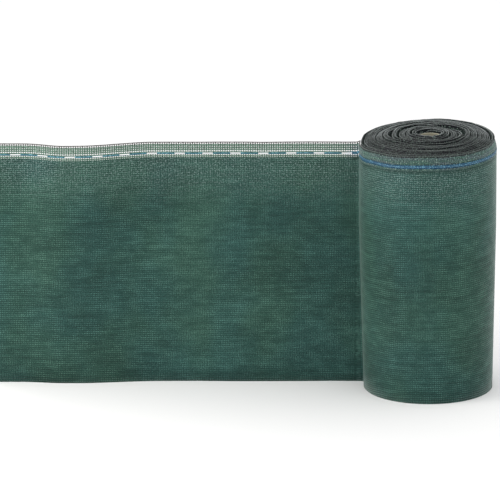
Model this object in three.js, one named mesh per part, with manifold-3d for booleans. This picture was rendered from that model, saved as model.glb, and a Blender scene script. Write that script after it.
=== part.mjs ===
// A roll of knitted shade netting that stands on its end, with the last turn slack and the loose end
// pulled off to one side as an upright sheet. Millimetres, +Z up, -Y towards the viewer, and the floor
// is z = 0. Until the end of the file x = 0, y = 0 is a point of the roll's foot near its middle.

import * as THREE from 'three';
import { mergeVertices } from 'three/addons/utils/BufferGeometryUtils.js';
import Module from 'manifold-3d';

const wasm = await Module();
wasm.setup();

const degrees = THREE.MathUtils.degToRad;
const { lerp, smoothstep } = THREE.MathUtils;

// Paperboard core
const CORE_OUTER_RADIUS = 23;
const CORE_INNER_RADIUS = 20;
const CORE_HEIGHT = 519;
const CORE_EDGE_BEVEL = 0.6;
const CORE_SIDES = 48;
const CORE_AXIS = new THREE.Vector3(-4.5, 10, 0);

// Outline of the roll: tight at the foot, slack above, where it also leans to the left
const FOOT_RADIUS = 129.5;
const FOOT_OFFSET = -7.4;
const SLACK_RADIUS = 137.5;
const SLACK_OFFSET = -9.5;
const SLACK_HEIGHT = 340;
const FOOT_BEVEL = 2;

// Wound turns at the top end: highest around the core, and down to the last turn's edge outside
const INNER_TURN_HEIGHT = 525;
const DOME_POWER = 2.5;
const EYE_RADIUS = 26;
const HOLE_CLEARANCE = 0.4;
const ROLL_COLUMNS = 64;

// The eye, where the innermost turns stand loose around the core, narrows down to the core's hole
const EYE_ROWS = [
  { depth: 18, looseness: 0.72 },
  { depth: 36, looseness: 0.3 },
  { depth: 52, looseness: 0 },
];

// Upper edge of a group of turns, by the share of its width from its outside: rounded off to both sides
const CROWN_ROWS = [
  { across: 0.3, drop: 0 },
  { across: 0.75, drop: 0.3 },
  { across: 1, drop: 1.8 },
];
const CROWN_EDGE_DROP = CROWN_ROWS.at(-1).drop;
const CROWN_WAVE = 1.1;
const CROWN_WAVE_TURN = 137;

// The gaps that part the wound turns into groups. at runs from 0, at the eye, to 1, at the outside.
const GROOVES = [
  { at: 0.955, narrow: 0.8, leftWidth: 3.6, rightWidth: 3.2, depth: 20 },
  { at: 0.69, narrow: 0.9, leftWidth: 1.8, rightWidth: 2.6, depth: 13 },
  { at: 0.54, narrow: 0.9, leftWidth: 3.0, rightWidth: 1.4, depth: 14 },
  { at: 0.4, narrow: 1.0, leftWidth: 4.4, rightWidth: 4.6, depth: 18 },
  { at: 0.27, narrow: 1.2, leftWidth: 4.4, rightWidth: 3.2, depth: 17 },
  { at: 0.14, narrow: 1.2, leftWidth: 4.2, rightWidth: 3.2, depth: 16 },
];
const LEFT_OPENING = { angle: 184, reach: 80 };
const RIGHT_OPENING = { angle: 0, reach: 75 };
const GROOVE_FLOOR_SHARE = 0.35;

// The last turn and the loose end, one sheet
const SHEET_THICKNESS = 2;
const TURN_GAP = 0.85;
const STEP_ANGLE = 45;
const STEP_HALF_WIDTH = 0.4;
const LEAVE_ANGLE = 172;
const COVERED_ANGLE = 160;
const SHEET_Y = 27;
const SHEET_HEIGHT = 502;
const RUN_LENGTH = 737;
const RUN_STEP = 21;
const BEND_STEPS = 5;
const ROW_SHARES = [0, 0.17, 0.34, 0.51, 0.68, 0.846, 0.9, 0.95, 0.965, 0.98, 1];

// The free edge of the last turn leans in on the right
const SHOULDER = { angle: -5, reach: 60 };
const SHOULDER_LEAN = 4.5;
const SHOULDER_DROP = 20;

// Height of the last turn's upper edge, by angle round the roll
const EDGE_HEIGHTS = [
  { angle: -315, height: 519.5 },
  { angle: -282, height: 519.5 },
  { angle: -262, height: 516.5 },
  { angle: -240, height: 514.5 },
  { angle: -200, height: 512 },
  { angle: -188, height: 507 },
  { angle: -163, height: 510 },
  { angle: -135, height: 515 },
  { angle: -90, height: 520 },
  { angle: 0, height: 519.5 },
  { angle: 45, height: 519.5 },
];

// How far the loose end swings forward, by distance from the roll, at its upper edge
const SWING = [
  { distance: 0, forward: 0 },
  { distance: 410, forward: 0 },
  { distance: 565, forward: 30 },
  { distance: 595, forward: 30 },
  { distance: 680, forward: 13 },
  { distance: 740, forward: 12 },
];
const FLOOR_SWING_SHARE = 0.45;

// Buttonhole slits along the marker thread
const SLIT_LENGTH = 20;
const SLIT_HEIGHT = 3;
const SLIT_PITCH = 55.8;
const SLIT_BELOW_EDGE = 24;
const FIRST_SLIT_AFTER_BEND = 19;
const SLIT_CUT_DEPTH = 10;

const NETTING_GREEN = 0x3a5950;
const LOOSE_END_GREEN = 0x3d6055;
const PAPERBOARD_TAN = 0x9c8e76;

/** Value of a table's column, eased between its rows. */
function eased(table, key, value, at) {
  const next = table.findIndex((row) => row[key] >= at);
  if (next === 0) return table[0][value];
  if (next < 0) return table.at(-1)[value];
  const [low, high] = [table[next - 1], table[next]];
  return lerp(low[value], high[value], smoothstep(at, low[key], high[key]));
}

/** 1 at the middle of a stretch of the roll's circumference, falling to 0 at its reach to either side. */
function lobe(angle, stretch) {
  const turned = THREE.MathUtils.euclideanModulo(angle - stretch.angle + 180, 360) - 180;
  return 1 - smoothstep(Math.abs(turned), 0, stretch.reach);
}

/** A closed mesh as a manifold solid, its faces turned outwards. */
function solidOf(geometry) {
  const bare = geometry.clone();
  bare.deleteAttribute('normal');
  bare.deleteAttribute('uv');
  const merged = mergeVertices(bare, 1e-3);
  const points = merged.getAttribute('position');
  const corners = merged.index.array;
  const [a, b, c] = [new THREE.Vector3(), new THREE.Vector3(), new THREE.Vector3()];
  let volume = 0;
  for (let at = 0; at < corners.length; at += 3) {
    a.fromBufferAttribute(points, corners[at]);
    b.fromBufferAttribute(points, corners[at + 1]);
    c.fromBufferAttribute(points, corners[at + 2]);
    volume += a.dot(b.cross(c));
  }
  if (volume < 0) corners.reverse();
  return new wasm.Manifold(new wasm.Mesh({
    numProp: 3,
    vertProperties: new Float32Array(points.array),
    triVerts: new Uint32Array(corners),
  }));
}

/** A manifold solid as a geometry with flat faces. */
function geometryOf(solid) {
  const mesh = solid.getMesh();
  const geometry = new THREE.BufferGeometry();
  geometry.setAttribute('position', new THREE.BufferAttribute(mesh.vertProperties, 3));
  geometry.setIndex(new THREE.BufferAttribute(mesh.triVerts, 1));
  geometry.computeVertexNormals();
  return geometry;
}

/** Share of the slackness that the outline has at a height, from 0 at the foot to 1. */
function slackness(z) {
  return Math.min(z / SLACK_HEIGHT, 1);
}

/** Height of the last turn's upper edge at an angle. */
function edgeHeight(angle) {
  return eased(EDGE_HEIGHTS, 'angle', 'height', angle > STEP_ANGLE ? angle - 360 : angle);
}

/** Radius of the last turn's outer face about the outline's own centre. */
function outlineRadius(angle, z) {
  const edge = edgeHeight(angle);
  const lean = SHOULDER_LEAN * lobe(angle, SHOULDER) * smoothstep(z, edge - SHOULDER_DROP, edge);
  return lerp(FOOT_RADIUS, SLACK_RADIUS, slackness(z)) - lean;
}

/** Where the outline's centre lies in x at a height. */
function outlineOffset(z) {
  return lerp(FOOT_OFFSET, SLACK_OFFSET, slackness(z));
}

/** Radius of the wound mass, which lies inside the last turn and comes out flush where that turn begins. */
function massRadius(angle, z) {
  const fromStep = THREE.MathUtils.euclideanModulo(angle - STEP_ANGLE, 360);
  const inside = smoothstep(fromStep, 0, COVERED_ANGLE - STEP_ANGLE);
  return outlineRadius(angle, z) - inside * (SHEET_THICKNESS + TURN_GAP);
}

/** Angle of a column of the wound mass. The first and the last stand close together, at the step. */
function columnAngle(column) {
  return STEP_ANGLE + STEP_HALF_WIDTH + (360 - 2 * STEP_HALF_WIDTH) * column / (ROLL_COLUMNS - 1);
}

/** A point of the top end, share 0 at the eye and 1 at the outside. */
function turnPoint(angle, share, z) {
  const radius = lerp(EYE_RADIUS, massRadius(angle, z), share);
  return new THREE.Vector3(
    lerp(CORE_AXIS.x, outlineOffset(z), share) + radius * Math.cos(degrees(angle)),
    lerp(CORE_AXIS.y, 0, share) + radius * Math.sin(degrees(angle)),
    z,
  );
}

/** Height of the wound turns' upper edges. */
function turnHeight(angle, share, group) {
  const dome = lerp(INNER_TURN_HEIGHT, edgeHeight(angle), share ** DOME_POWER);
  const wave = CROWN_WAVE * (1 - share ** 4) * Math.sin(degrees(2 * angle + CROWN_WAVE_TURN * group));
  return dome + wave;
}

/** Half the width of a groove, as a share of the wound thickness. */
function grooveHalfShare(groove, angle) {
  const left = (groove.leftWidth - groove.narrow) * lobe(angle, LEFT_OPENING);
  const right = (groove.rightWidth - groove.narrow) * lobe(angle, RIGHT_OPENING);
  return (groove.narrow + left + right) / 2 / (SLACK_RADIUS - EYE_RADIUS);
}

/** A row of the core's hole, as wide as the turns are loose there. */
function holeRow(z, looseness) {
  const radius = lerp(CORE_OUTER_RADIUS + HOLE_CLEARANCE, EYE_RADIUS, looseness);
  return (angle) => new THREE.Vector3(
    CORE_AXIS.x + radius * Math.cos(degrees(angle)),
    CORE_AXIS.y + radius * Math.sin(degrees(angle)),
    z,
  );
}

/** A row of the outer wall, by share of its height. */
function wallRow(share) {
  return (angle) => turnPoint(angle, 1, share * (turnHeight(angle, 1, 0) - CROWN_EDGE_DROP));
}

/** Rows over the upper edge of a group of turns, from the outside inwards. */
function crownRows(group, outside, inside) {
  return CROWN_ROWS.map(({ across, drop }) => (angle) => {
    const share = lerp(outside(angle), inside(angle), across);
    return turnPoint(angle, share, turnHeight(angle, share, group) - drop);
  });
}

/** Rows down into a groove and up again to the edge of the next group of turns. */
function grooveRows(groove, group, beyond) {
  const floorRow = (side) => (angle) => {
    const share = groove.at + side * GROOVE_FLOOR_SHARE * grooveHalfShare(groove, angle);
    return turnPoint(angle, share, turnHeight(angle, groove.at, group) - groove.depth);
  };
  const edgeRow = (angle) => {
    const share = beyond(angle);
    return turnPoint(angle, share, turnHeight(angle, share, group + 1) - CROWN_EDGE_DROP);
  };
  return [floorRow(1), floorRow(-1), edgeRow];
}

/** The rows of the wound mass, each a function from an angle to a point, once round its section. */
function massRows() {
  const rows = [
    holeRow(0, 0),
    (angle) => turnPoint(angle, 1 - FOOT_BEVEL / (FOOT_RADIUS - EYE_RADIUS), 0),
    (angle) => turnPoint(angle, 1, FOOT_BEVEL),
    ...ROW_SHARES.slice(1).map(wallRow),
  ];
  let outside = () => 1;
  GROOVES.forEach((groove, group) => {
    const inside = (angle) => groove.at + grooveHalfShare(groove, angle);
    const beyond = (angle) => groove.at - grooveHalfShare(groove, angle);
    rows.push(...crownRows(group, outside, inside), ...grooveRows(groove, group, beyond));
    outside = beyond;
  });
  rows.push(...crownRows(GROOVES.length, outside, () => 0));
  EYE_ROWS.forEach(({ depth, looseness }) => rows.push(holeRow(INNER_TURN_HEIGHT - depth, looseness)));
  return rows;
}

/** The wound mass: a lathed grid of its rows, each point then put where the slack turns bring it. */
function windMass() {
  const rows = massRows();
  const section = [...rows, rows[0]].map((row, at) => new THREE.Vector2(1 + at, at % rows.length));
  const grid = new THREE.LatheGeometry(section, ROLL_COLUMNS);
  const points = grid.getAttribute('position');
  for (let at = 0; at < points.count; at += 1) {
    const column = Math.floor(at / section.length) % ROLL_COLUMNS;
    const row = at % section.length % rows.length;
    const place = rows[row](columnAngle(column));
    points.setXYZ(at, place.x, place.y, place.z);
  }
  return solidOf(grid);
}

/** The core tube. */
function coreTube() {
  const [inner, outer, bevel] = [CORE_INNER_RADIUS, CORE_OUTER_RADIUS, CORE_EDGE_BEVEL];
  const section = [
    [inner, bevel],
    [inner + bevel, 0],
    [outer - bevel, 0],
    [outer, bevel],
    [outer, CORE_HEIGHT - bevel],
    [outer - bevel, CORE_HEIGHT],
    [inner + bevel, CORE_HEIGHT],
    [inner, CORE_HEIGHT - bevel],
    [inner, bevel],
  ].map(([radius, height]) => new THREE.Vector2(radius, height));
  const tube = new THREE.LatheGeometry(section, CORE_SIDES).rotateX(Math.PI / 2);
  return solidOf(tube.translate(CORE_AXIS.x, CORE_AXIS.y, 0));
}

/** A station of the sheet: its edge height, its face at a height, and the way that face looks. */
function station(edge, direction, face) {
  return { edge, face, outwards: new THREE.Vector3(Math.cos(direction), Math.sin(direction), 0) };
}

/** Stations of the last turn, clockwise from the step to where it leaves the roll. */
function turnStations() {
  const leavingColumn = Math.round((LEAVE_ANGLE - STEP_ANGLE) / 360 * (ROLL_COLUMNS - 1));
  const stations = [];
  for (let column = ROLL_COLUMNS - 1; column > leavingColumn; column -= 1) {
    const angle = columnAngle(column) - 360;
    stations.push(station(edgeHeight(angle), degrees(angle), (z) => new THREE.Vector3(
      outlineOffset(z) + outlineRadius(angle, z) * Math.cos(degrees(angle)),
      outlineRadius(angle, z) * Math.sin(degrees(angle)),
      z,
    )));
  }
  return stations;
}

/** Stations of the bend that turns the netting away from the roll and into the plane of the loose end. */
function bendStations() {
  const leave = degrees(LEAVE_ANGLE);
  const bendRadius = (z) => {
    const leavingY = outlineRadius(LEAVE_ANGLE, z) * Math.sin(leave);
    return (SHEET_Y - leavingY) / (1 + Math.sin(leave));
  };
  const stations = [];
  for (let step = 0; step <= BEND_STEPS; step += 1) {
    const done = step / BEND_STEPS;
    const direction = lerp(leave - Math.PI, Math.PI / 2, done);
    const edge = lerp(edgeHeight(LEAVE_ANGLE), SHEET_HEIGHT, done);
    stations.push(station(edge, direction + Math.PI, (z) => {
      const fromRoll = outlineRadius(LEAVE_ANGLE, z) + bendRadius(z);
      return new THREE.Vector3(
        outlineOffset(z) + fromRoll * Math.cos(leave) + bendRadius(z) * Math.cos(direction),
        fromRoll * Math.sin(leave) + bendRadius(z) * Math.sin(direction),
        z,
      );
    }));
  }
  return stations;
}

/** Stations of the loose end, from beside the roll to its cut end. */
function runStations() {
  const count = Math.round(RUN_LENGTH / RUN_STEP);
  const rollSide = SLACK_OFFSET - SLACK_RADIUS;
  const stations = [];
  for (let step = 1; step <= count; step += 1) {
    const distance = RUN_LENGTH * step / count;
    const swing = eased(SWING, 'distance', 'forward', distance);
    stations.push(station(SHEET_HEIGHT, -Math.PI / 2, (z) => new THREE.Vector3(
      rollSide - distance,
      SHEET_Y - swing * lerp(FLOOR_SWING_SHARE, 1, z / SHEET_HEIGHT),
      z,
    )));
  }
  return stations;
}

/** A slit's cutter: a bar with round ends, its length along x and its height along y. */
function slitCutter() {
  const straight = (SLIT_LENGTH - SLIT_HEIGHT) / 2;
  const slit = new THREE.Shape();
  slit.absarc(straight, 0, SLIT_HEIGHT / 2, -Math.PI / 2, Math.PI / 2);
  slit.absarc(-straight, 0, SLIT_HEIGHT / 2, Math.PI / 2, 3 * Math.PI / 2);
  const bar = { depth: SLIT_CUT_DEPTH, bevelEnabled: false, curveSegments: 4 };
  return new THREE.ExtrudeGeometry(slit, bar).translate(0, 0, -SLIT_CUT_DEPTH / 2);
}

/** The last turn and the loose end: a flat board of cells bent through its stations, then slit. */
function sheet() {
  const turn = turnStations();
  const bend = bendStations();
  const stations = [...turn, ...bend, ...runStations()];
  const columns = stations.length - 1;
  const rows = ROW_SHARES.length - 1;

  const board = new THREE.BoxGeometry(1, 1, 1, columns, rows, 1);
  const points = board.getAttribute('position');
  for (let at = 0; at < points.count; at += 1) {
    const { edge, face, outwards } = stations[Math.round((points.getX(at) + 0.5) * columns)];
    const share = ROW_SHARES[Math.round((points.getY(at) + 0.5) * rows)];
    const inwards = points.getZ(at) < 0 ? SHEET_THICKNESS : 0;
    const place = face(share * edge).addScaledVector(outwards, -inwards);
    points.setXYZ(at, place.x, place.y, place.z);
  }
  let solid = solidOf(board);

  const markerPoints = stations.map(({ edge, face }) => face(edge - SLIT_BELOW_EDGE));
  const marker = new THREE.CatmullRomCurve3(markerPoints);
  const length = marker.getLength();
  const turnAndBend = new THREE.CatmullRomCurve3(markerPoints.slice(0, turn.length + bend.length));
  const beforeRun = turnAndBend.getLength();
  const up = new THREE.Vector3(0, 0, 1);
  const first = (beforeRun + FIRST_SLIT_AFTER_BEND) % SLIT_PITCH;
  for (let along = first; along < length - SLIT_LENGTH; along += SLIT_PITCH) {
    if (along < SLIT_LENGTH) continue;
    const tangent = marker.getTangentAt(along / length).setZ(0).normalize();
    const turned = new THREE.Matrix4().makeBasis(tangent, up, tangent.clone().cross(up));
    const cutter = slitCutter().applyMatrix4(turned.setPosition(marker.getPointAt(along / length)));
    solid = solid.subtract(solidOf(cutter));
  }
  return solid;
}

/** A named mesh with a finish of its own. */
function piece(name, solid, color, roughness) {
  const material = new THREE.MeshStandardMaterial({ color, roughness, metalness: 0 });
  const mesh = new THREE.Mesh(geometryOf(solid), material);
  mesh.name = name;
  return mesh;
}

const roll = new THREE.Group();
roll.add(piece('core_tube', coreTube(), PAPERBOARD_TAN, 0.85));
roll.add(piece('net_roll', windMass(), NETTING_GREEN, 0.7));
roll.add(piece('loose_end', sheet(), LOOSE_END_GREEN, 0.65));

// The part's origin is under the middle of its box.
const middle = new THREE.Box3().setFromObject(roll).getCenter(new THREE.Vector3());
roll.position.set(-middle.x, -middle.y, 0);

export default roll;
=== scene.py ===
import math
import random
from bisect import bisect_left

import bmesh
import bpy
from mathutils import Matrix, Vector
from mathutils.noise import noise as smooth_noise


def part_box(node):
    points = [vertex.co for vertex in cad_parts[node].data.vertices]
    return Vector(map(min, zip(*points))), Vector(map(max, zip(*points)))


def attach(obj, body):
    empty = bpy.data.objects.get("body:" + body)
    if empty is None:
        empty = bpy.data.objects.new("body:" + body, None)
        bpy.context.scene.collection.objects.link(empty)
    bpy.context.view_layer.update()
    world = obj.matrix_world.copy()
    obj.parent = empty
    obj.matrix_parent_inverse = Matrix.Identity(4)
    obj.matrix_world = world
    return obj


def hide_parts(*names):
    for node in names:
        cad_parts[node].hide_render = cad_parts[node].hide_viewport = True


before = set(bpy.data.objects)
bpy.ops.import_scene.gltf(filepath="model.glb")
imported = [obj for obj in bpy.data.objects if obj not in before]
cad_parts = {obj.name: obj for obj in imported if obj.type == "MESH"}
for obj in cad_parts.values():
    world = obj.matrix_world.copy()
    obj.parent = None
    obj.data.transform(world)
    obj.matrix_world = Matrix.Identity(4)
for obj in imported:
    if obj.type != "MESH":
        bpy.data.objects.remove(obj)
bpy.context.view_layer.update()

# Studio: the roll stands on a plain white floor, in the even light of a white room with two large soft
# lamps to the left of the camera and a weak one to its right. The camera looks along +Y, a little down.
CAMERA_ELEVATION = 16.7
CAMERA_DISTANCE = 24.0
CAMERA_LENS = 861.6
CAMERA_CLIP_END = 100
LOOKED_AT = Vector((0.0125, 0, 0.2837))
ROOM_LIGHT = 1.06
SOFT_LAMPS = [
    {"name": "left_lamp", "at": (-1.9, -0.9, 1.4), "size": 1.1, "power": 14, "tint": (1, 0.95, 0.90)},
    {"name": "side_lamp", "at": (-1.7, -0.45, 1.0), "size": 0.8, "power": 9, "tint": (1, 0.97, 0.96)},
    {"name": "right_lamp", "at": (2.0, -1.4, 1.5), "size": 1.2, "power": 1, "tint": (0.76, 0.90, 1)},
]

scene = bpy.context.scene
scene.view_settings.view_transform = "Standard"
camera = bpy.data.objects.new("camera", bpy.data.cameras.new("camera"))
scene.collection.objects.link(camera)
scene.camera = camera
tilt = math.radians(CAMERA_ELEVATION)
towards_camera = Vector((0, -math.cos(tilt), math.sin(tilt)))
camera.location = LOOKED_AT + CAMERA_DISTANCE * towards_camera
camera.rotation_euler = towards_camera.to_track_quat("Z", "Y").to_euler()
camera.data.lens = CAMERA_LENS
camera.data.clip_end = CAMERA_CLIP_END

room = bpy.data.worlds.new("white_room")
scene.world = room
room.use_nodes = True
room.node_tree.nodes["Background"].inputs["Color"].default_value = (1, 1, 1, 1)
room.node_tree.nodes["Background"].inputs["Strength"].default_value = ROOM_LIGHT

for lamp in SOFT_LAMPS:
    light = bpy.data.lights.new(lamp["name"], "AREA")
    light.size = lamp["size"]
    light.energy = lamp["power"]
    light.color = lamp["tint"]
    holder = bpy.data.objects.new(lamp["name"], light)
    scene.collection.objects.link(holder)
    holder.location = lamp["at"]
    holder.rotation_euler = (Vector(lamp["at"]) - LOOKED_AT).to_track_quat("Z", "Y").to_euler()


class Finish:
    """A material and the nodes that make up its look."""

    def __init__(self, name):
        self.material = bpy.data.materials.new(name)
        self.material.use_nodes = True
        self.tree = self.material.node_tree
        self.shader = self.tree.nodes["Principled BSDF"]

    def add(self, kind, settings=None, **inputs):
        """Adds a node. Inputs are given by socket name or number, as values or as other sockets."""
        node = self.tree.nodes.new(kind)
        for key, value in (settings or {}).items():
            setattr(node, key, value)
        self.plug(node, **inputs)
        return node

    def plug(self, node, **inputs):
        """Sets or links inputs of a node, each named like its socket with _ for a space."""
        for key, value in inputs.items():
            place = int(key[1:]) if key[0] == "_" else key.replace("_", " ")
            socket = node.inputs[place]
            if isinstance(value, bpy.types.NodeSocket):
                self.tree.links.new(value, socket)
            else:
                socket.default_value = value

    def math(self, operation, a, b=0.0, c=0.0):
        """Result of a Math node."""
        node = self.add("ShaderNodeMath", {"operation": operation}, _0=a, _1=b, _2=c)
        return node.outputs[0]

    def noise(self, vector, scale, detail=2.0, roughness=0.5):
        """Grey value of a noise texture."""
        node = self.add(
            "ShaderNodeTexNoise", Vector=vector, Scale=scale, Detail=detail, Roughness=roughness
        )
        return node.outputs[0]

    def stretch(self, vector, scale, location=(0, 0, 0)):
        """A vector scaled and then shifted."""
        node = self.add("ShaderNodeMapping", Vector=vector, Scale=scale, Location=location)
        return node.outputs[0]

    def span(self, value, low, high, to_low=0.0, to_high=1.0):
        """A value taken from one range to another, smoothly, and kept within it."""
        node = self.add(
            "ShaderNodeMapRange",
            {"interpolation_type": "SMOOTHSTEP"},
            _0=value, _1=low, _2=high, _3=to_low, _4=to_high,
        )
        return node.outputs[0]

    def mix(self, share, a, b, blend="MIX"):
        """A mix of two colours."""
        node = self.add("ShaderNodeMix", {"data_type": "RGBA", "blend_type": blend})
        self.plug(node, _0=share, _6=a, _7=b)
        return node.outputs[2]

    def ramp(self, value, stops):
        """A colour ramp, its stops given as (position, colour)."""
        node = self.add("ShaderNodeValToRGB", Fac=value)
        elements = node.color_ramp.elements
        while len(elements) < len(stops):
            elements.new(0.5)
        for element, (position, colour) in zip(elements, stops):
            element.position = position
            element.color = (*colour, 1)
        return node.outputs[0]

    def bump(self, height, distance, strength=1.0):
        """Links a bump of that height to the shader."""
        node = self.add("ShaderNodeBump", Height=height, Distance=distance, Strength=strength)
        self.plug(self.shader, Normal=node.outputs[0])


def srgb(red, green, blue):
    """A colour given in 8-bit sRGB as linear numbers."""
    shares = (red / 255, green / 255, blue / 255)
    return tuple(s / 12.92 if s < 0.04045 else ((s + 0.055) / 1.055) ** 2.4 for s in shares)


def piece(name, shape, finish, smooth=True):
    """A finished bmesh as an object of that name."""
    mesh = bpy.data.meshes.new(name)
    shape.to_mesh(mesh)
    shape.free()
    mesh.materials.append(finish.material)
    mesh.polygons.foreach_set("use_smooth", [smooth] * len(mesh.polygons))
    made = bpy.data.objects.new(name, mesh)
    scene.collection.objects.link(made)
    return made


# Floor: a wide board in matt white paint, faintly clouded, on which the roll stands. It is the stage and
# isn't part of the object.
FLOOR_SIZE = 60
FLOOR_CELLS = 4
FLOOR_CLOUDS = 0.6
FLOOR_PALE = (0.93, 0.93, 0.93, 1)
FLOOR_WHITE = (0.95, 0.95, 0.95, 1)

floor_paint = Finish("floor_paint")
floor_place = floor_paint.add("ShaderNodeTexCoord").outputs["Object"]
floor_cloud = floor_paint.noise(floor_place, FLOOR_CLOUDS)
floor_paint.plug(
    floor_paint.shader,
    Base_Color=floor_paint.mix(floor_cloud, FLOOR_PALE, FLOOR_WHITE),
    Roughness=0.9,
)
floor_shape = bmesh.new()
bmesh.ops.create_grid(
    floor_shape, x_segments=FLOOR_CELLS, y_segments=FLOOR_CELLS, size=FLOOR_SIZE / 2
)
floor = piece("floor", floor_shape, floor_paint)

# Core tube: strips of brown paperboard glued in a spiral round a mandrel and cut square. The netting is
# wound on it. Its cut ends show the plies, and the paper's surface has a spiral seam. The roll has been
# wound a little off the tube's axis.
TUBE_WALL = 0.003
PLIES = 4
PLY_GROOVE = 0.0003
PLY_FLAT_FROM = 0.25
PLY_FLAT_TO = 0.8
TUBE_CHAMFER = 0.0004
TUBE_STEPS = 96
SEAM_RISE = 0.085
SEAM_SHARE = 0.012
SEAM_SEEN = 0.6
SEAM_BROWN = srgb(96, 80, 58)
PAPERBOARD_LIGHT = srgb(178, 174, 154)
PAPERBOARD_DARK = srgb(136, 132, 114)
FIBRES = 900
FIBRES_SEEN = 0.6
BLOTCHES = 60
BLOTCHES_SEEN = 0.4
ROLL_OFF_AXIS = Vector((0.0045, -0.010, 0))

core_low, core_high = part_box("core_tube")
core_axis = (core_low + core_high) / 2
roll_middle = core_axis + ROLL_OFF_AXIS
CORE_TOP = core_high.z
CORE_OUTER = (core_high.x - core_low.x) / 2
CORE_INNER = CORE_OUTER - TUBE_WALL


def tube_end(height, into):
    """Points over a cut end, from inside to outside: each ply is rounded off against the next."""
    ply = (CORE_OUTER - CORE_INNER) / PLIES
    points = []
    for count in range(PLIES):
        low = CORE_INNER + ply * count
        points.append((low, height + into * PLY_GROOVE))
        points.append((low + PLY_FLAT_FROM * ply, height))
        points.append((low + PLY_FLAT_TO * ply, height))
    points.append((CORE_OUTER, height + into * TUBE_CHAMFER))
    return points


tube = bmesh.new()
section = tube_end(0, 1) + tube_end(CORE_TOP, -1)[::-1]
ring = [
    tube.verts.new((core_axis.x + radius, core_axis.y, height)) for radius, height in section
]
for start, end in zip(ring, ring[1:] + ring[:1]):
    tube.edges.new((start, end))
bmesh.ops.spin(
    tube, geom=tube.verts[:] + tube.edges[:], cent=(core_axis.x, core_axis.y, 0),
    axis=(0, 0, 1), angle=2 * math.pi, steps=TUBE_STEPS, use_merge=True,
)
bmesh.ops.remove_doubles(tube, verts=tube.verts[:], dist=1e-6)
bmesh.ops.recalc_face_normals(tube, faces=tube.faces[:])

paperboard = Finish("paperboard")
tube_place = paperboard.add("ShaderNodeTexCoord").outputs["Object"]
tube_place = paperboard.stretch(tube_place, (1, 1, 1), (-core_axis.x, -core_axis.y, 0))
tube_x, tube_y, tube_z = paperboard.add("ShaderNodeSeparateXYZ", Vector=tube_place).outputs[:3]
round_tube = paperboard.math("DIVIDE", paperboard.math("ARCTAN2", tube_y, tube_x), 2 * math.pi)
seam = paperboard.math(
    "FRACT", paperboard.math("ADD", round_tube, paperboard.math("DIVIDE", tube_z, SEAM_RISE))
)
seam_line = paperboard.span(seam, SEAM_SHARE, 2 * SEAM_SHARE, 1.0, 0.0)
fibres = paperboard.noise(paperboard.stretch(tube_place, (1, 1, 0.2)), FIBRES, 4, 0.7)
blotches = paperboard.noise(tube_place, BLOTCHES, 3)
board_shade = paperboard.math(
    "MULTIPLY_ADD", fibres, FIBRES_SEEN, paperboard.math("MULTIPLY", blotches, BLOTCHES_SEEN)
)
board_colour = paperboard.mix(board_shade, (*PAPERBOARD_DARK, 1), (*PAPERBOARD_LIGHT, 1))
board_colour = paperboard.mix(
    paperboard.math("MULTIPLY", seam_line, SEAM_SEEN), board_colour, (*SEAM_BROWN, 1)
)
paperboard.plug(paperboard.shader, Base_Color=board_colour, Roughness=0.85)
paperboard.bump(
    paperboard.math("SUBTRACT", fibres, paperboard.math("MULTIPLY", seam_line, 2)), 0.0002, 0.7
)

core = piece("core_tube_board", tube, paperboard, smooth=False)
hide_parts("core_tube")
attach(core, "root")

# Wound netting: knitted netting, turn on turn round the core. The turns were wound tight at the foot and
# stand slack at the top end, where they part into groups and lean to the left. The upper edge is a
# reinforced strip with a charcoal border and a blue marker thread, knitted in.
NETTING_THICKNESS = 0.0010
BORDER_THICKNESS = 0.0014
BORDER_DEPTH = 0.002
FOOT_RADIUS = 0.1295
FOOT_OFFSET = -0.0074
SLACK_RADIUS = 0.1375
SLACK_OFFSET = -0.0095
SLACK_HEIGHT = 0.34
FIRST_ANGLE = 45.4
CROSSING_SHARE = 0.34
CROSSING_RISE = 0.88
FULL_TURNS = 26
INNER_END = 0.72
TURNS = FULL_TURNS + INNER_END
PAST_ALL_TURNS = FULL_TURNS + 9
TURN_COLUMNS = 150
INNER_TURN_HEIGHT = 0.525
DOME_POWER = 2.5
CORE_CLEARANCE = 0.0007
LOOSENESS = [(0.0, 1.0), (0.018, 0.72), (0.036, 0.3), (0.052, 0.0)]
TURN_DEPTHS = [0, 0.0012, 0.004, 0.010, 0.020, 0.034, 0.052]
CROWN_DROP = 0.0018
CROWN_WAVE = 0.0011
CROWN_WAVE_TURN = 137
SHOULDER_ANGLE = -5
SHOULDER_REACH = 60
SHOULDER_LEAN = 0.0045
SHOULDER_DROP = 0.020
EDGE_HEIGHTS = [
    (-315, 0.5195), (-282, 0.5195), (-262, 0.5165), (-240, 0.5145), (-200, 0.512), (-188, 0.507),
    (-163, 0.510), (-135, 0.515), (-90, 0.520), (0, 0.5195), (45, 0.5195),
]
# Radius of the hollow in the middle of the top end, by the angle round the core: the inner turns lie on
# the core's front and stand loose behind it and to its left
HOLLOW = [
    (-90, 0.0278), (0, 0.027), (90, 0.034), (150, 0.038), (195, 0.037), (235, 0.0285), (270, 0.0278),
]
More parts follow.
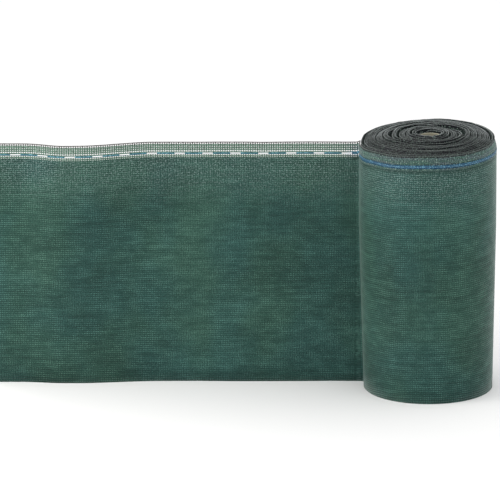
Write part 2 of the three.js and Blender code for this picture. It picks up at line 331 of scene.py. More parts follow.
# Gaps between the groups of turns: after how many turns from outside, how wide they are at their
# narrowest, and the angle, reach and width of their openings at the left and at the right
GAPS = [
    {"after": 1.5, "narrow": 0.0008, "left": (198, 90, 0.0046), "right": (2, 84, 0.0036)},
    {"after": 8.5, "narrow": 0.0002, "left": (188, 58, 0.0016), "right": (4, 48, 0.0016)},
    {"after": 12.5, "narrow": 0.0002, "left": (192, 58, 0.0030), "right": (22, 46, 0.0020)},
    {"after": 15.5, "narrow": 0.0002, "left": (172, 50, 0.0060), "right": (36, 60, 0.0074)},
    {"after": 18.5, "narrow": 0.0003, "left": (176, 56, 0.0052), "right": (8, 48, 0.0028)},
    {"after": 22.5, "narrow": 0.0003, "left": (188, 52, 0.0038), "right": (14, 50, 0.0036)},
]
GAP_CROSSING = 0.3
GROUP_SWAY = 0.3
# Turns lie in pairs at the left and at the right, and some groups have sunk at the back. Places round the
# roll are given as an angle and a reach.
PAIRING = 0.12
PAIRS_LEFT = (180, 62)
PAIRS_RIGHT = (10, 62)
SUNK_GROUPS = (15.5, 22)
SUNK_AT = (62, 58)
SUNK_DEPTH = 0.0055
# The innermost turns flop over the core's rim in front and are crumpled and ragged elsewhere, and the
# netting's inner end lies against the core.
FLOP_AT = (266, 165)
FLOP_TURNS = 3
FLOP_REACH = 0.0125
FLOP_RISE = 0.0014
RIM_CLEARANCE = 0.0005
RIM_REACH = 0.0045
CRUMPLED_TURNS = 2.5
CRUMPLE = 0.0026
CRUMPLED_LEFT = (165, 75)
CRUMPLED_RIGHT = (42, 50)
CRUMPLES_PER_TURN = 9
CRUMPLES_START = 3
RAGGED = 0.003
RAGGED_AT = (130, 110)
RAGS_PER_TURN = 11
HUG_FROM = 0.1
HUG_OVER = 0.22
HUG_RADIUS = 0.0017
# Unevenness of every turn, in its place and in its height
TURN_SWAY = 0.0002
SWAYS_PER_TURN = 5.3
TURN_RISE = 0.0015
RISES_PER_TURN = 1.7
TURN_RIPPLE = 0.0004
RIPPLES_PER_TURN = 17
LUMP = 0.0012
LUMP_SIZE = 0.016
LUMPS_INSIDE = 0.030
LUMPS_OUTSIDE = 0.135
LENGTH_MEASURED_AT = 0.25
STITCH = 0.00465
PILLAR = 0.0042


def lerp(start, end, share):
    return start + (end - start) * share


def smoothstep(share):
    share = min(max(share, 0.0), 1.0)
    return share * share * (3 - 2 * share)


def eased(table, at):
    """Value of a table of (place, value) rows, eased between its rows."""
    places = [place for place, _ in table]
    row = min(max(bisect_left(places, at), 1), len(table) - 1)
    (low, start), (high, end) = table[row - 1], table[row]
    return lerp(start, end, smoothstep((at - low) / (high - low)))


def lobe(angle, middle, reach):
    """1 at the middle of a stretch of the circumference, falling to 0 at its reach to either side."""
    turned = (angle - middle + 180) % 360 - 180
    return 1 - smoothstep(abs(turned) / reach)


def wander(seed, size=4096):
    """A smooth random line between -1 and 1 along a number, the same each time."""
    draw = random.Random(seed)
    values = [draw.uniform(-1, 1) for _ in range(size)]

    def at(place):
        step = math.floor(place)
        return lerp(values[step % size], values[(step + 1) % size], smoothstep(place - step))

    return at


def edge_height(angle):
    """Height of the last turn's upper edge at an angle round the roll."""
    return eased(EDGE_HEIGHTS, (angle + 315) % 360 - 315)


def outline_radius(angle, z):
    """Radius of the last turn's outer face, about the outline's own centre."""
    edge = edge_height(angle)
    lean = lobe(angle, SHOULDER_ANGLE, SHOULDER_REACH) * smoothstep((z - edge) / SHOULDER_DROP + 1)
    return lerp(FOOT_RADIUS, SLACK_RADIUS, min(z / SLACK_HEIGHT, 1)) - SHOULDER_LEAN * lean


def outline_middle(z):
    """Middle of the outline at a height. It stands off to the left, most where the turns are slack."""
    return roll_middle + Vector((lerp(FOOT_OFFSET, SLACK_OFFSET, min(z / SLACK_HEIGHT, 1)), 0, 0))


def turns_passed(turn):
    """Turns passed on the way in: each runs round and then crosses to the next at the back."""
    done = turn % 1
    if done < CROSSING_SHARE:
        return math.floor(turn) + CROSSING_RISE * smoothstep(done / CROSSING_SHARE)
    rest = (done - CROSSING_SHARE) / (1 - CROSSING_SHARE)
    return math.floor(turn) + lerp(CROSSING_RISE, 1, rest)


def gap_width(gap, angle):
    """Width of a gap between two groups at an angle."""
    width = gap["narrow"]
    for middle, reach, open_width in (gap["left"], gap["right"]):
        width += (open_width - gap["narrow"]) * lobe(angle, middle, reach)
    return width


def group_at(passed):
    """Number of the group that a turn is in, and how far through it the turn is."""
    bounds = [0, *[gap["after"] for gap in GAPS], FULL_TURNS]
    group = min(bisect_left(bounds, passed + 1e-9), len(bounds) - 1) - 1
    return group, (passed - bounds[group]) / (bounds[group + 1] - bounds[group])


def around(radius, middle, angle, z):
    """A point of the roll, by its distance from a middle."""
    turned = math.radians(angle)
    return Vector((middle.x + radius * math.cos(turned), middle.y + radius * math.sin(turned), z))


turn_sway = wander(11)
turn_rise = wander(12)
turn_ripple = wander(13)
tail_crumple = wander(14)


def group_sway(group, angle):
    """How far a group of turns leans in or out at an angle, as a share of the gaps beside it."""
    turned = math.radians(angle)
    return 0.6 * math.sin(2 * turned + 2.3 * group) + 0.4 * math.sin(5 * turned + 4.1 * group)


def slack_turn(turn, angle, z):
    """A point of a turn's outer face where the turns stand slack, at the top end."""
    passed = turns_passed(turn)
    outside = outline_radius(angle, z)
    hollow = eased(HOLLOW, (angle + 90) % 360 - 90)
    widths = [gap_width(gap, angle) for gap in GAPS]
    pitch = (outside - hollow - sum(widths)) / FULL_TURNS
    inwards = passed * pitch
    for group, (gap, width) in enumerate(zip(GAPS, widths)):
        crossed = smoothstep((passed - gap["after"]) / GAP_CROSSING + 0.5)
        inwards += width * crossed
        following = GAPS[group + 1]["after"] if group + 1 < len(GAPS) else PAST_ALL_TURNS
        within = crossed - smoothstep((passed - following) / GAP_CROSSING + 0.5)
        inwards += GROUP_SWAY * (width - gap["narrow"]) * group_sway(group, angle) * within
    paired = max(lobe(angle, *PAIRS_LEFT), lobe(angle, *PAIRS_RIGHT)) * min(passed / 2, 1)
    inwards += PAIRING * pitch * math.sin(math.pi * passed) * paired
    inwards += TURN_SWAY * turn_sway(turn * SWAYS_PER_TURN) * min(turn, 1)
    innermost = smoothstep(1 - (FULL_TURNS - passed) / CRUMPLED_TURNS)
    loose = max(lobe(angle, *CRUMPLED_LEFT), lobe(angle, *CRUMPLED_RIGHT))
    crumpled = 0.5 + tail_crumple(turn * CRUMPLES_PER_TURN + CRUMPLES_START)
    inwards += CRUMPLE * innermost * loose * crumpled
    over_rim = smoothstep((z - CORE_TOP - RIM_CLEARANCE) / RIM_REACH)
    flop = smoothstep(1 - (FULL_TURNS - passed) / FLOP_TURNS) * lobe(angle, *FLOP_AT)
    share = min(inwards / (outside - hollow), 1)
    hug = smoothstep((turn - FULL_TURNS - HUG_FROM) / HUG_OVER)
    inwards = lerp(inwards, outside - CORE_OUTER - HUG_RADIUS, hug)
    inwards += FLOP_REACH * flop * over_rim
    return around(outside - inwards, outline_middle(z).lerp(core_axis, share), angle, z)


def tight_turn(turn, angle, z):
    """A point of a turn's outer face where the turns lie tight."""
    outside = outline_radius(angle, z)
    innermost = CORE_OUTER + CORE_CLEARANCE + NETTING_THICKNESS
    share = turns_passed(turn) / turns_passed(TURNS)
    middle = outline_middle(z).lerp(core_axis, share)
    return around(lerp(outside, innermost, share), middle, angle, z)


def turn_height(turn, angle):
    """Height of a turn's upper edge."""
    passed = turns_passed(turn)
    share = 1 - min(passed / FULL_TURNS, 1)
    group, through = group_at(passed)
    dome = lerp(INNER_TURN_HEIGHT, edge_height(angle), share**DOME_POWER)
    wave = CROWN_WAVE * (1 - share**4) * math.sin(math.radians(2 * angle + CROWN_WAVE_TURN * group))
    crown = CROWN_DROP * abs(2 * through - 1) ** 3 * min(passed, 1)
    spread = around(lerp(LUMPS_INSIDE, LUMPS_OUTSIDE, share), Vector(), angle, 0) / LUMP_SIZE
    lumps = LUMP * smooth_noise(spread)
    uneven = TURN_RISE * turn_rise(turn * RISES_PER_TURN)
    uneven += TURN_RIPPLE * turn_ripple(turn * RIPPLES_PER_TURN)
    start, end = SUNK_GROUPS
    inside = smoothstep((passed - start) / GAP_CROSSING + 0.5) - smoothstep((passed - end) / 2 + 0.5)
    sunk = SUNK_DEPTH * inside * lobe(angle, *SUNK_AT)
    innermost = smoothstep(1 - (FULL_TURNS - passed) / CRUMPLED_TURNS)
    ragged = RAGGED * innermost * tail_crumple(turn * RAGS_PER_TURN) * lobe(angle, *RAGGED_AT)
    rise = FLOP_RISE * smoothstep(1 - (FULL_TURNS - passed) / FLOP_TURNS) * lobe(angle, *FLOP_AT)
    return dome + wave - crown - sunk + ragged + rise + (lumps + uneven) * min(turn, 1)


def wound_point(turn, rows_down, inner):
    """A point of the wound netting and its depth below the upper edge, some rows down from it."""
    angle = FIRST_ANGLE + 360 * turn
    top = turn_height(turn, angle)
    row = min(int(rows_down), len(TURN_DEPTHS) - 1)
    depth = TURN_DEPTHS[row]
    if rows_down > len(TURN_DEPTHS) - 1:
        depth = lerp(depth, top, (rows_down - row) / 2)
    z = top - depth
    loose = eased(LOOSENESS, INNER_TURN_HEIGHT - z)
    if depth == 0:
        loose = eased(LOOSENESS, 0)
    point = tight_turn(turn, angle, z).lerp(slack_turn(turn, angle, z), loose)
    if inner:
        thick = BORDER_THICKNESS if depth < BORDER_DEPTH else NETTING_THICKNESS
        point -= around(thick, Vector(), angle, 0)
    return point, depth


def flat_board(columns, rows):
    """A flat board of cells, one column and one row apart."""
    board = bmesh.new()
    bmesh.ops.create_grid(board, x_segments=columns, y_segments=rows, size=0.5)
    for vert in board.verts:
        vert.co = (round((vert.co.x + 0.5) * columns), round((0.5 - vert.co.y) * rows), 0)
    return board


def bend_board(board, place):
    """Bends a flat board: place gives each corner's point and the netting's own coordinates there."""
    places = {vert: place(*vert.co) for vert in board.verts}
    netting_map = board.loops.layers.uv.new("netting")
    for face in board.faces:
        for loop in face.loops:
            loop[netting_map].uv = places[loop.vert][1]
    for vert, (point, _) in places.items():
        vert.co = point
    bmesh.ops.recalc_face_normals(board, faces=board.faces[:])


wound_columns = round(TURNS * TURN_COLUMNS)
lengths = [0.0]
previous = None
for column in range(wound_columns + 1):
    turn = TURNS * column / wound_columns
    here = tight_turn(turn, FIRST_ANGLE + 360 * turn, LENGTH_MEASURED_AT)
    if previous is not None:
        lengths.append(lengths[-1] + (here - previous).length)
    previous = here


def wound_place(column, row, side):
    """A corner of the wound netting's flat board, bent into place."""
    turn = TURNS * column / wound_columns
    point, depth = wound_point(turn, row, abs(side) > 0.5)
    return point, (-lengths[round(column)], depth)


wound_rows = len(TURN_DEPTHS) + 1
wound = flat_board(wound_columns, wound_rows)
bmesh.ops.solidify(wound, geom=wound.faces[:], thickness=1)
bend_board(wound, wound_place)

BODY_DARK = srgb(17, 42, 35)
BODY_MIDDLE = srgb(38, 71, 61)
BODY_LIGHT = srgb(82, 122, 106)
# Colour of the painted highlights on the body's loops and tapes
PALE_HIGHLIGHT = srgb(134, 156, 152)
# Border of the wound turns: charcoal, darkened further as painted shade between the turns
SHADED_BORDER_CHARCOAL = srgb(24, 27, 29)
BORDER_GREY = srgb(70, 72, 68)
EDGE_DARK = srgb(26, 28, 30)
EDGE_LIGHT = srgb(112, 116, 117)
# Depths, towards the back, where the painted shade on the upper edges of the turns is full and where it
# ends
FRONT_SHADE_FULL = -0.055
FRONT_SHADE_NONE = 0.015
SLACK_GREEN = (0.58, 0.70, 0.78, 1)
SLACK_PURPLE = (0.78, 0.66, 0.92, 1)
# Strip of the wound turns below their border: dark green, painted shade between the turns
UNDER_STRIP_SHADE = srgb(30, 46, 41)
STRIP_GREEN = srgb(84, 110, 96)
SPECK_PALE = srgb(150, 172, 160)
# Marker thread where slack: blue, and a lighter colour for its painted glints
MARKER_BLUE = srgb(14, 66, 94)
MARKER_GLINT = srgb(104, 156, 176)
# Marker thread where pulled straight: teal, painted light as when lit from behind, with its own painted
# glints
MARKER_BACKLIT = srgb(26, 88, 108)
MARKER_BACKLIT_GLINT = srgb(120, 172, 186)
STRIP_END = 0.034
# Depth below the upper edge where the painted highlights on the body have faded
PALE_HIGHLIGHT_END = 0.15
MARKER_DEPTH = 0.0238
MARKER_SLACK = 0.0036
MARKER_TAUT = 0.0014
MARKER_FRAY = 0.0022
TAUT_OVER = 0.03
DYE_TINT = (0.80, 1.0, 1.32, 1)
SHEEN_TINT = (*srgb(196, 212, 206), 1)
# Patterns in the netting's colour: how many of each there are to a metre
LOOP_DRIFTS = 70
LOOP_PATCHES = 38
STREAKS = 13
CLOUDS = 4.5
TAPE_GLINTS = 400
DYE_CLOUDS = 7
PALE_SPARKS = 280
TURN_SHADES = 3.1
STRIP_HUES = 16
THREAD_SPECKLE = 300
THREAD_SPECKS = 330


def from_middle(netting, repeats):
    """How far a place in a repeat is from the middle of that repeat."""
    return netting.math("ABSOLUTE", netting.math("SUBTRACT", netting.math("FRACT", repeats), 0.5))


def raised_loops(netting, place, along, below):
    """One raised loop for each stitch, and the pillars in which the loops run along the netting."""
    drift = netting.math("MULTIPLY_ADD", netting.noise(place, LOOP_DRIFTS, 3), 1.3, -0.65)
    loops_along = netting.math("ADD", netting.math("DIVIDE", along, STITCH), drift)
    pillars = netting.math(
        "ADD", netting.math("DIVIDE", below, PILLAR), netting.math("MULTIPLY", drift, 0.3)
    )
    across = from_middle(netting, loops_along)
    upright = from_middle(netting, pillars)
    loop = netting.math(
        "MULTIPLY", netting.span(across, 0.12, 0.42, 1, 0), netting.span(upright, 0.08, 0.36, 1, 0)
    )
    return loop, netting.span(upright, 0.1, 0.42, 1, 0)


def body_colour(netting, place, below, loop, pillar):
    """Colour of the body with painted highlights, the patches where its loops stand out, and the tape
    glints.
    """
    patches = netting.noise(netting.stretch(place, (1, 1.5, 1)), LOOP_PATCHES, 3, 0.6)
    patches = netting.span(patches, 0.36, 0.66)
    streaks = netting.noise(netting.stretch(place, (1, 11, 1)), STREAKS, 4, 0.65)
    cloud = netting.noise(netting.stretch(place, (1, 1.8, 1), (3, 7, 0)), CLOUDS, 3, 0.55)
    glints = netting.noise(netting.stretch(place, (1, 1.3, 1)), TAPE_GLINTS, 2, 0.6)

    shade = netting.math("MULTIPLY_ADD", netting.math("SUBTRACT", streaks, 0.5), 0.6, 0.42)
    shade = netting.math("MULTIPLY_ADD", netting.math("SUBTRACT", cloud, 0.5), 0.6, shade)
    # Painted highlight: the raised loops are drawn lighter, most in the patches
    loop_highlight = netting.math("MULTIPLY", loop, netting.math("MULTIPLY_ADD", patches, 0.36, 0.06))
    shade = netting.math("ADD", shade, netting.math("SUBTRACT", loop_highlight, 0.05))
    shade = netting.math("MULTIPLY_ADD", netting.math("SUBTRACT", pillar, 0.5), 0.12, shade)
    # Painted highlight: glints of single tapes lighten the colour
    glint_share = netting.math("MULTIPLY_ADD", patches, 0.45, 0.9)
    shade = netting.math(
        "MULTIPLY_ADD", netting.math("SUBTRACT", glints, 0.5), glint_share, shade
    )
    body = netting.ramp(shade, [(0.05, BODY_DARK), (0.45, BODY_MIDDLE), (1.0, BODY_LIGHT)])

    dye = netting.noise(netting.stretch(place, (1, 0.7, 1), (5, 2, 0)), DYE_CLOUDS, 2)
    dye = netting.span(dye, 0.35, 0.65)
    body = netting.mix(netting.math("MULTIPLY", dye, 0.5), body, DYE_TINT, "MULTIPLY")
    sparks = netting.noise(netting.stretch(place, (1, 1.2, 1), (6, 1, 0)), PALE_SPARKS, 1)
    sparks = netting.span(sparks, 0.5, 0.72)
    # Painted highlight: pale loops and sparks, fading down from the strip
    pale_highlight = netting.math("MULTIPLY", netting.math("MULTIPLY_ADD", loop, 0.45, sparks), 0.5)
    pale_highlight = netting.math("MULTIPLY", pale_highlight, netting.span(below, STRIP_END, PALE_HIGHLIGHT_END, 1, 0.1))
    return netting.mix(pale_highlight, body, (*PALE_HIGHLIGHT, 1)), patches, glints


def strip_colour(netting, place, below, slack, strip_stops):
    """Colour of the reinforced strip: its border, lighter openwork and specks of single threads.

    The slack turns' upper edges differ in shade, with painted shade darkening them where pressed in front.
    """
    strip = netting.ramp(netting.math("DIVIDE", below, STRIP_END), strip_stops)
    turn_shade = netting.noise(netting.stretch(place, (1, 0, 1)), TURN_SHADES, 4, 0.75)
    object_place = netting.add("ShaderNodeTexCoord").outputs["Object"]
    towards_back = netting.add("ShaderNodeSeparateXYZ", Vector=object_place).outputs[1]
    # Painted shade: the upper edges are darker towards the front of the roll
    front_shade = netting.span(towards_back, FRONT_SHADE_FULL, FRONT_SHADE_NONE, 0.8, 0)
    turn_light = netting.span(turn_shade, 0.38, 0.62, 0.15, 1)
    turn_light = netting.math("MULTIPLY_ADD", front_shade, -0.75, turn_light)
    edge_colour = netting.mix(
        netting.span(turn_light, 0, 1), (*EDGE_DARK, 1), (*EDGE_LIGHT, 1)
    )
    at_edge = netting.math("MULTIPLY", slack, netting.span(below, 0.0002, 0.0009, 1, 0))
    hue = netting.noise(netting.stretch(place, (1, 6, 1), (2, 9, 0)), STRIP_HUES, 3)
    hue = netting.span(hue, 0.4, 0.6)
    strip = netting.mix(slack, strip, netting.mix(hue, SLACK_GREEN, SLACK_PURPLE), "MULTIPLY")
    strip = netting.mix(at_edge, strip, edge_colour)
    speckle = netting.noise(place, THREAD_SPECKLE, 2, 0.6)
    speckle = netting.math("MULTIPLY_ADD", speckle, 3.6, -0.8)
    speckle = netting.math("MAXIMUM", speckle, 0.2)
    strip = netting.mix(1.0, strip, netting.mix(1.0, (1, 1, 1, 1), speckle, "MULTIPLY"), "MULTIPLY")
    specks = netting.noise(netting.stretch(place, (1, 1, 1), (9, 4, 0)), THREAD_SPECKS, 1)
    specks = netting.span(specks, 0.57, 0.68)
    seen = netting.span(below, 0.001, 0.004, 0.2, 0.55)
    specks = netting.math("MULTIPLY", specks, netting.math("MULTIPLY_ADD", slack, seen, 0.1))
    return netting.mix(specks, strip, (*SPECK_PALE, 1))


def with_crease_shade(netting, below, slack, colour):
    """A colour with painted shade in the crease that runs under the strip where the netting lies slack."""
    crease_shade = netting.math(
        "MULTIPLY", netting.span(below, 0.028, 0.033), netting.span(below, 0.035, 0.041, 1, 0)
    )
    crease_shade = netting.math("MULTIPLY", netting.math("MULTIPLY", crease_shade, slack), 0.45)
    return netting.mix(crease_shade, colour, (*BODY_DARK, 1))


def with_marker(netting, place, below, taut, slack, colour):
    """A colour with the blue marker thread knitted into it, broad where slack, with painted glints."""
    fray = netting.noise(place, THREAD_SPECKLE, 2)
    fray = netting.math("MULTIPLY_ADD", fray, MARKER_FRAY, -MARKER_FRAY / 2)
    off_marker = netting.math(
        "ABSOLUTE", netting.math("SUBTRACT", netting.math("ADD", below, fray), MARKER_DEPTH)
    )
    marker_half = netting.math("MULTIPLY_ADD", slack, MARKER_SLACK - MARKER_TAUT, MARKER_TAUT)
    marker = netting.span(
        netting.math("SUBTRACT", off_marker, marker_half), -0.0003, 0.0003, 1, 0
    )
    # Painted glints on the marker thread
    marker_glint_share = netting.span(netting.noise(place, THREAD_SPECKLE, 2), 0.5, 0.66)
    slack_colour = netting.mix(marker_glint_share, (*MARKER_BLUE, 1), (*MARKER_GLINT, 1))
    # Painted light: the pulled thread is drawn teal, as when lit from behind through the netting
    backlit_colour = netting.mix(marker_glint_share, (*MARKER_BACKLIT, 1), (*MARKER_BACKLIT_GLINT, 1))
    return netting.mix(marker, colour, netting.mix(taut, slack_colour, backlit_colour))


def knitted(name, taut_from, strip_stops):
    """Finish of the netting, by its own coordinates: metres along it and metres below its upper edge.

    Before taut_from it lies slack on the roll, and past that it is pulled straight.
    """
    netting = Finish(name)
    place = netting.add("ShaderNodeUVMap", {"uv_map": "netting"}).outputs[0]
    along, below = netting.add("ShaderNodeSeparateXYZ", Vector=place).outputs[:2]
    taut = netting.span(along, taut_from, taut_from + TAUT_OVER)
    slack = netting.math("SUBTRACT", 1.0, taut)

    loop, pillar = raised_loops(netting, place, along, below)
    body, patches, glints = body_colour(netting, place, below, loop, pillar)
    strip = strip_colour(netting, place, below, slack, strip_stops)
    in_body = netting.span(below, STRIP_END - 0.005, STRIP_END)
    colour = netting.mix(in_body, strip, body)
    # Painted shade: a darker band in the crease under the strip
    colour = with_crease_shade(netting, below, slack, colour)
    colour = with_marker(netting, place, below, taut, slack, colour)

    netting.plug(
        netting.shader,
        Base_Color=colour,
        Roughness=netting.math("MULTIPLY_ADD", patches, -0.12, 0.62),
        Specular_IOR_Level=0.16,
        Sheen_Weight=0.5,
        Sheen_Roughness=0.3,
        Sheen_Tint=SHEEN_TINT,
    )
    relief = netting.math("MULTIPLY_ADD", pillar, 0.5, netting.math("MULTIPLY", loop, 0.6))
    relief = netting.math("MULTIPLY_ADD", glints, 0.5, relief)
    netting.bump(relief, 0.0005, 0.7)
    return netting


# The wound turns' strip is painted darker than the loose end's: painted shade between the turns
wound_finish = knitted("wound_netting", 1, [
    (0.0, SHADED_BORDER_CHARCOAL), (0.12, SHADED_BORDER_CHARCOAL), (0.24, UNDER_STRIP_SHADE),
    (0.6, UNDER_STRIP_SHADE), (1.0, BODY_MIDDLE),
])
wound_netting = piece("wound_netting", wound, wound_finish)
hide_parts("net_roll")
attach(wound_netting, "root")

# Last turn and loose end: the same netting, slack round the roll and then pulled off to the left, where
# it stands upright. Its upper strip is openwork, with a slit at every twelfth stitch of the marker row.
SHEET_Y = 0.027
RUN_EDGE = 0.502
RUN_LENGTH = 0.737
LEAVE_ANGLE = 172
START_ANGLE = 44.6
SWING = [(0, 0), (0.410, 0), (0.565, 0.030), (0.595, 0.030), (0.680, 0.013), (0.740, 0.012)]
FLOOR_SWING_SHARE = 0.45
SLIT_STITCHES = 12
SLIT_OPENINGS = 5
FIRST_SLIT_AFTER_BEND = 0.019
# Depths below the upper edge where the threads of the strip begin and end, and the rows between them
# that are open: how much of a stitch is left closed at either side of each opening
STRIP_LINES = [
    0, 0.0017, 0.0046, 0.0064, 0.0078, 0.0094, 0.0114, 0.0136, 0.0156, 0.0178, 0.0202, 0.0226,
    0.0238, 0.0250, 0.0262, 0.0280, 0.0306, 0.0318, 0.0350,
]
OPEN_ROWS = {1: 0.0010, 3: 0.0017, 5: 0.0016, 7: 0.0016, 9: 0.0009, 14: 0.0010, 16: 0.0015}
SLIT_ROWS = (11, 12)
SLIT_ENDS = {11: 0.0016, 12: 0.0009, 13: 0.0016}
POST_SLANT = 0.0004
OPENING_JITTER = 0.00018
CLOSED_SIDE = 0.0007
BODY_ROWS = 13
BEND_ARC = math.radians(98)
# Unevenness of the pulled length: how far, how many to a metre, how they slant with height, and how far
# from the bend they reach their full size
EDGE_SWAY = 0.0005
EDGE_SWAYS = 22
EDGE_SWAY_FULL_AT = 0.05
FACE_SWAY = 0.0011
FACE_SWAYS = 9
FACE_SWAY_SLANT = 2.1
FACE_SWELL = 0.0009
FACE_SWELLS = 4
FACE_SWELL_SLANT = 3.3
FACE_SWELL_START = 40
FACE_SWELL_FULL_AT = 0.06

turn_arc = math.radians(START_ANGLE - (LEAVE_ANGLE - 360))
turn_length = SLACK_RADIUS * turn_arc


def bend_radius(z):
    """Radius of the bend between the roll and the loose end at a height."""
    leave = math.radians(LEAVE_ANGLE)
    return (SHEET_Y - outline_radius(LEAVE_ANGLE, z) * math.sin(leave)) / (1 + math.sin(leave))


bend_length = bend_radius(RUN_EDGE) * BEND_ARC
bend_reach = SLACK_RADIUS + bend_radius(RUN_EDGE)
run_start = SLACK_OFFSET + bend_reach * math.cos(math.radians(LEAVE_ANGLE))
RUN_END = SLACK_OFFSET - SLACK_RADIUS - RUN_LENGTH
RUN_CHORD = 0.001
run_chords = round((run_start - RUN_END) / RUN_CHORD)
run_lengths = [0.0]
for step in range(run_chords):
    near = run_start - step * RUN_CHORD
    swings = [eased(SWING, SLACK_OFFSET - SLACK_RADIUS - x) for x in (near, near - RUN_CHORD)]
    run_lengths.append(run_lengths[-1] + math.hypot(RUN_CHORD, swings[1] - swings[0]))
loose_length = turn_length + bend_length + run_lengths[-1]

edge_sway = wander(21)
face_sway = wander(22)
face_swell = wander(23)


def netting_face(along, z_of_edge, inwards=0.0):
    """A point of the loose netting's outer face, and the height of the upper edge there.

    z_of_edge gives the point's height from the edge's own height.
    """
    if along <= turn_length:
        angle = START_ANGLE - math.degrees(along / SLACK_RADIUS)
        edge = edge_height(angle)
        z = z_of_edge(edge)
        return around(outline_radius(angle, z) - inwards, outline_middle(z), angle, z), edge
    past = along - turn_length
    leave = math.radians(LEAVE_ANGLE)
    if past < bend_length:
        done = past / bend_length
        edge = lerp(edge_height(LEAVE_ANGLE), RUN_EDGE, smoothstep(done))
        z = z_of_edge(edge)
        radius = bend_radius(z)
        centre = around(outline_radius(LEAVE_ANGLE, z) + radius, outline_middle(z), LEAVE_ANGLE, z)
        turned = lerp(leave - math.pi, math.pi / 2, done)
        reach = radius + inwards
        return centre + Vector((reach * math.cos(turned), reach * math.sin(turned), 0)), edge
    past -= bend_length
    chord = min(max(bisect_left(run_lengths, past), 1), run_chords)
    part = (past - run_lengths[chord - 1]) / (run_lengths[chord] - run_lengths[chord - 1])
    distance = run_start - (chord - 1 + part) * RUN_CHORD
    edge = RUN_EDGE + EDGE_SWAY * edge_sway(past * EDGE_SWAYS) * smoothstep(past / EDGE_SWAY_FULL_AT)
    z = z_of_edge(edge)
    low = z / RUN_EDGE
    swing = eased(SWING, SLACK_OFFSET - SLACK_RADIUS - distance) * lerp(FLOOR_SWING_SHARE, 1, low)
    swell = FACE_SWAY * face_sway(past * FACE_SWAYS + FACE_SWAY_SLANT * low)
    swell += FACE_SWELL * face_swell(past * FACE_SWELLS - FACE_SWELL_SLANT * low + FACE_SWELL_START)
    swell *= smoothstep(past / FACE_SWELL_FULL_AT)
    forward = SHEET_Y - swing + swell + inwards
    return roll_middle + Vector((distance, forward, z - roll_middle.z)), edge


# Stitches are counted so that each slit lies in the middle of its openings.
slit_middle = turn_length + bend_length + FIRST_SLIT_AFTER_BEND
stitch_start = (slit_middle - SLIT_OPENINGS * STITCH / 2) % STITCH - STITCH
stitches = math.ceil((loose_length - stitch_start) / STITCH)
slit_start = slit_middle - SLIT_OPENINGS * STITCH / 2
slit_stitch = round((slit_start - stitch_start) / STITCH) % SLIT_STITCHES
loose_rows = len(STRIP_LINES) - 1 + BODY_ROWS
opening_draw = random.Random(31)
jitters = {}


def in_slit(stitch):
    """Whether a stitch of the marker row is open."""
    return (stitch - slit_stitch) % SLIT_STITCHES < SLIT_OPENINGS


def loose_place(column, row, side):
    """A corner of the loose netting's flat board, bent into place."""
    column, row = round(column), round(row)
    stitch, right = divmod(column, 2)
    closed = CLOSED_SIDE
    along = stitch_start + stitch * STITCH
    if row < len(STRIP_LINES):
        for open_row, width in OPEN_ROWS.items():
            if row in (open_row, open_row + 1):
                closed = width
        along += (POST_SLANT if (stitch + row) % 2 else -POST_SLANT)
        if row in SLIT_ENDS:
            closed = SLIT_ENDS[row]
        if (column, row) not in jitters:
            jitters[column, row] = opening_draw.uniform(-OPENING_JITTER, OPENING_JITTER)
        along += jitters[column, row]
    along += STITCH - closed if right else closed
    along = min(max(along, 0), loose_length)

    def height(edge):
        if row < len(STRIP_LINES):
            return edge - STRIP_LINES[row]
        share = (row - len(STRIP_LINES) + 1) / BODY_ROWS
        return (edge - STRIP_LINES[-1]) * (1 - share)

    point, edge = netting_face(along, height, NETTING_THICKNESS if abs(side) > 0.5 else 0)
    return point, (along, edge - point.z)


loose = flat_board(2 * stitches - 1, loose_rows)
openings = []
for face in loose.faces:
    middle = face.calc_center_median()
    column, row = int(middle.x), int(middle.y)
    stitch = column // 2
    if column % 2 == 0 and row in OPEN_ROWS:
        openings.append(face)
    if row in SLIT_ROWS and in_slit(stitch) and (column % 2 == 0 or in_slit(stitch + 1)):
        openings.append(face)
bmesh.ops.delete(loose, geom=openings, context="FACES")
bmesh.ops.solidify(loose, geom=loose.faces[:], thickness=1)
bend_board(loose, loose_place)
bmesh.ops.remove_doubles(loose, verts=loose.verts[:], dist=1e-6)

loose_finish = knitted("loose_netting", turn_length + bend_length, [
    (0.0, BORDER_GREY), (0.1, BORDER_GREY), (0.16, STRIP_GREEN), (1.0, STRIP_GREEN),
])
loose_netting = piece("loose_netting", loose, loose_finish)
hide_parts("loose_end")
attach(loose_netting, "root")

# Marker thread: a chain of blue polyethylene stitches, knitted on to the outer face of the netting along
# its row of slits. Round the roll it runs unbroken and covers the slits. On the loose end it shows only
# between one slit and the next.
MARKER_HALF_HEIGHT = 0.0013
MARKER_ON_ROLL = 0.0021
MARKER_RELIEF = 0.0006
MARKER_STEPS = 4
MARKER_NECK = 0.74
MARKER_TIP = 0.35
MARKER_LIFT = 0.0001
MARKER_SUNK = 0.0002

marker_finish = Finish("marker_thread")
marker_place = marker_finish.add("ShaderNodeUVMap", {"uv_map": "netting"}).outputs[0]
marker_along = marker_finish.add("ShaderNodeSeparateXYZ", Vector=marker_place).outputs[0]
marker_taut = marker_finish.span(marker_along, turn_length, turn_length + TAUT_OVER)
marker_grain = marker_finish.noise(marker_finish.stretch(marker_place, (1, 1.5, 1)), 300, 3, 0.6)
# Painted glints on the thread
marker_glint = marker_finish.span(marker_grain, 0.5, 0.64)
# Painted light: where pulled straight the thread is drawn teal, as when lit from behind
marker_finish.plug(
    marker_finish.shader,
    Base_Color=marker_finish.mix(
        marker_taut,
        marker_finish.mix(marker_glint, (*MARKER_BLUE, 1), (*MARKER_GLINT, 1)),
        marker_finish.mix(marker_glint, (*MARKER_BACKLIT, 1), (*MARKER_BACKLIT_GLINT, 1)),
    ),
    Roughness=0.45,
)
marker_finish.bump(marker_grain, 0.0002, 0.6)

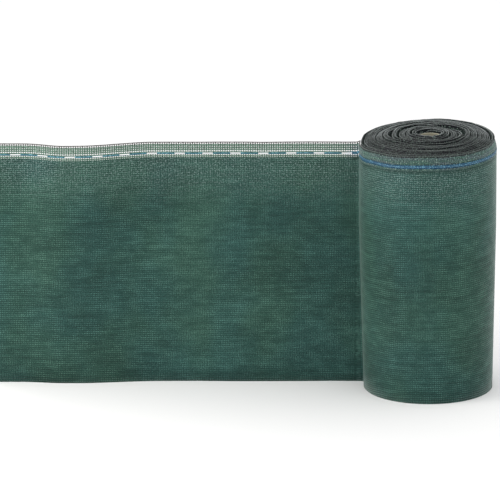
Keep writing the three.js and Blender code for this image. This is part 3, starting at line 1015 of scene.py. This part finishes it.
marker = bmesh.new()
roll_stitches = math.floor((turn_length - stitch_start) / STITCH)
dashes = [(1, roll_stitches)]
for first in range(-SLIT_STITCHES + slit_stitch + SLIT_OPENINGS, stitches, SLIT_STITCHES):
    last = first + SLIT_STITCHES - SLIT_OPENINGS
    dashes.append((max(first, roll_stitches), min(last, stitches - 2)))
for begin, end in dashes:
    if end <= begin:
        continue
    half_height = MARKER_ON_ROLL if begin == 1 else MARKER_HALF_HEIGHT
    columns = (end - begin) * MARKER_STEPS
    dash = flat_board(columns, 4)
    bmesh.ops.solidify(dash, geom=dash.faces[:], thickness=1)

    def dash_place(column, row, side):
        """A corner of one dash of the marker, as a chain of rounded stitches."""
        along = stitch_start + (begin + column / MARKER_STEPS) * STITCH
        looped = abs(math.sin(math.pi * column / MARKER_STEPS))
        tapered = min(1, MARKER_TIP + min(column, columns - column) / MARKER_STEPS)
        height = half_height * lerp(MARKER_NECK, 1, looped) * tapered
        across = (row - 2) / 2
        raised = MARKER_RELIEF * (1 - across**2) * (0.5 + 0.5 * looped) + MARKER_LIFT
        depth = MARKER_DEPTH + across * height
        point, edge = netting_face(
            min(max(along, 0), loose_length), lambda top: top - depth,
            MARKER_SUNK if abs(side) > 0.5 else -raised,
        )
        return point, (along, depth)

    bend_board(dash, dash_place)
    part = bpy.data.meshes.new("dash")
    dash.to_mesh(part)
    dash.free()
    marker.from_mesh(part)
    bpy.data.meshes.remove(part)
marker_thread = piece("marker_thread", marker, marker_finish)
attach(marker_thread, "root")

# Edge thread: the charcoal polyethylene cord that borders the upper edge of the netting. It is knitted in,
# with one loop, and so one bulge, for each stitch.
EDGE_CORD_RADIUS = 0.0008
EDGE_CORD_BULGE = 0.0004
EDGE_CORD_DEPTH = 0.0009
EDGE_CORD_INSET = 0.0006
CORD_CHARCOAL = srgb(52, 52, 52)
CORD_GREY = srgb(128, 124, 122)
CORD_DARK_GREEN = srgb(22, 32, 30)
CORD_GREEN = srgb(92, 108, 102)

edge_finish = Finish("edge_thread")
edge_place = edge_finish.add("ShaderNodeTexCoord").outputs["Object"]
edge_x = edge_finish.add("ShaderNodeSeparateXYZ", Vector=edge_place).outputs[0]
edge_on_roll = edge_finish.span(edge_x, roll_middle.x - 0.15, roll_middle.x - 0.13)
edge_grain = edge_finish.span(edge_finish.noise(edge_place, 420, 3, 0.6), 0.36, 0.66)
edge_finish.plug(
    edge_finish.shader,
    Base_Color=edge_finish.mix(
        edge_on_roll,
        edge_finish.mix(edge_grain, (*CORD_CHARCOAL, 1), (*CORD_GREY, 1)),
        edge_finish.mix(edge_grain, (*CORD_DARK_GREEN, 1), (*CORD_GREEN, 1)),
    ),
    Roughness=0.6,
)
edge_finish.bump(edge_grain, 0.0003, 0.7)
edge_curve = bpy.data.curves.new("edge_thread", "CURVE")
edge_curve.dimensions = "3D"
edge_curve.bevel_depth = 1
edge_curve.bevel_resolution = 1
edge_curve.use_fill_caps = True
edge_line = edge_curve.splines.new("POLY")
edge_points = 2 * stitches - 3
edge_line.points.add(edge_points - 1)
for count, point in enumerate(edge_line.points):
    along = stitch_start + (count + 2) * STITCH / 2
    along = min(max(along, EDGE_CORD_INSET), loose_length - EDGE_CORD_INSET)
    place, _ = netting_face(along, lambda top: top - EDGE_CORD_DEPTH, NETTING_THICKNESS / 2)
    point.co = (*place, 1)
    point.radius = EDGE_CORD_RADIUS + (EDGE_CORD_BULGE if count % 2 else 0)
edge_curve.materials.append(edge_finish.material)
edge_thread = bpy.data.objects.new("edge_thread", edge_curve)
scene.collection.objects.link(edge_thread)
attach(edge_thread, "root")
